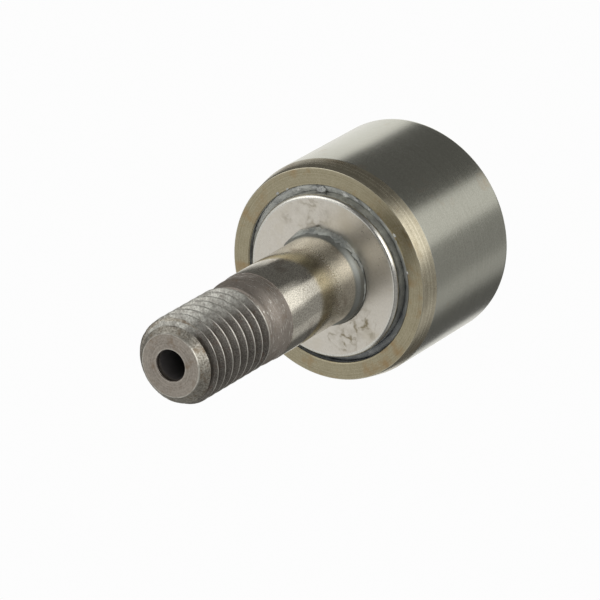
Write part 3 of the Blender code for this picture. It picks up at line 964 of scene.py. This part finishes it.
def add_panel(paint, direction, name, around, half_width, soft, low, high, glow):
    """An upright soft panel of the light tent, in degrees round the stud from -Y towards +X.

    low and high are the heights of its edges, as the sine of the angle over the horizon."""
    angle = math.radians(around)
    way = (math.sin(angle), -math.cos(angle), 0)
    level = paint.node("ShaderNodeVectorMath", {0: direction, 1: (1, 1, 0)}, operation="MULTIPLY")
    level = paint.node("ShaderNodeVectorMath", {0: level.outputs[0]}, operation="NORMALIZE")
    facing = paint.node("ShaderNodeVectorMath", {0: level.outputs[0], 1: way},
                        operation="DOT_PRODUCT", label=name).outputs["Value"]
    across = paint.smooth(facing, math.cos(math.radians(half_width + soft)),
                          math.cos(math.radians(half_width)))
    height = paint.node("ShaderNodeSeparateXYZ", {0: direction}).outputs[2]
    above = paint.smooth(height, low - PANEL_EDGE, low)
    below = paint.smooth(height, high + PANEL_EDGE, high)
    return paint.math("MULTIPLY", paint.math("MULTIPLY", across, above),
                      paint.math("MULTIPLY", below, glow))


PANEL_EDGE = 0.12  # the height over which a panel's lower and upper edges fade
PANELS = [
    # name, around, half width, soft edge, low, high, glow
    ("table_back", 147, 38, 10, -1.0, -0.78, 0.90),
    ("table_side", 198, 9, 9, -1.0, -0.60, 0.80),
    ("key_low", -8, 11, 12, -1.0, 0.1, 0.68),
    ("key_middle", -6, 20, 16, -0.60, 0.1, 0.40),
    ("fill_low", -62, 34, 10, -1.0, 0.0, 0.185),
    ("strip_low", -82, 6, 9, -1.0, 0.0, 0.15),
    ("back_high", 164, 66, 14, 0.0, 1.0, 0.55),
    ("side_high", 95, 26, 12, 0.40, 0.74, 1.00),
    ("key_high", -8, 12, 12, 0.2, 0.74, 2.10),
    ("fill_high", -62, 34, 10, 0.2, 0.85, 0.18),
]


def add_studio():
    """A light tent: upright soft panels round the follower, over and under the horizon."""
    world = bpy.data.worlds.new("studio")
    world.use_nodes = True
    paint = Paint(world.node_tree)
    direction = paint.node("ShaderNodeTexCoord").outputs["Generated"]
    height = paint.node("ShaderNodeSeparateXYZ", {0: direction}).outputs[2]
    glow = paint.ramp(height, -0.25, 0.25, 0.125, 0.135)
    for panel in PANELS:
        glow = paint.math("ADD", glow, add_panel(paint, direction, *panel))
    background = world.node_tree.nodes["Background"]
    background.inputs["Color"].default_value = (1.0, 0.99, 0.95, 1)
    world.node_tree.links.new(glow, background.inputs["Strength"])
    bpy.context.scene.world = world
    bpy.context.scene.view_settings.view_transform = "Standard"


FLOOR_HALF_WIDTH = 1.5
FLOOR_DROP = 0.02 * MM  # keeps it just clear of the head's face


def add_floor():
    """A plain pale floor that the follower stands on, clear from below; it holds back no light."""
    bm = bmesh.new()
    under = Matrix.Translation((0, 0, -FLOOR_DROP))
    bmesh.ops.create_grid(bm, x_segments=1, y_segments=1, size=FLOOR_HALF_WIDTH, matrix=under)
    mesh = bpy.data.meshes.new("floor")
    bm.to_mesh(mesh)
    bm.free()
    material = bpy.data.materials.new("pale_floor")
    material.use_nodes = True
    tree = material.node_tree
    paint = Paint(tree)
    tree.nodes.remove(tree.nodes["Principled BSDF"])
    glow = paint.node("ShaderNodeEmission", {"Color": (0.98, 0.98, 0.98, 1)})
    clear = paint.node("ShaderNodeBsdfTransparent")
    under = paint.node("ShaderNodeNewGeometry").outputs["Backfacing"]
    sides = paint.node("ShaderNodeMixShader", {0: under, 1: glow.outputs[0], 2: clear.outputs[0]})
    tree.links.new(sides.outputs[0], tree.nodes["Material Output"].inputs["Surface"])
    mesh.materials.append(material)
    floor = bpy.data.objects.new("floor", mesh)
    bpy.context.scene.collection.objects.link(floor)
    floor.visible_glossy = False
    floor.visible_diffuse = False
    floor.visible_shadow = False
    floor.visible_transmission = False


# ---------------------------------------------------------------- build
add_camera()
add_studio()
add_floor()
build_stud()
build_roller()
build_plate()
build_cage()
build_needles()
build_gap_grease()
build_seat_grease()
build_grease_lumps()
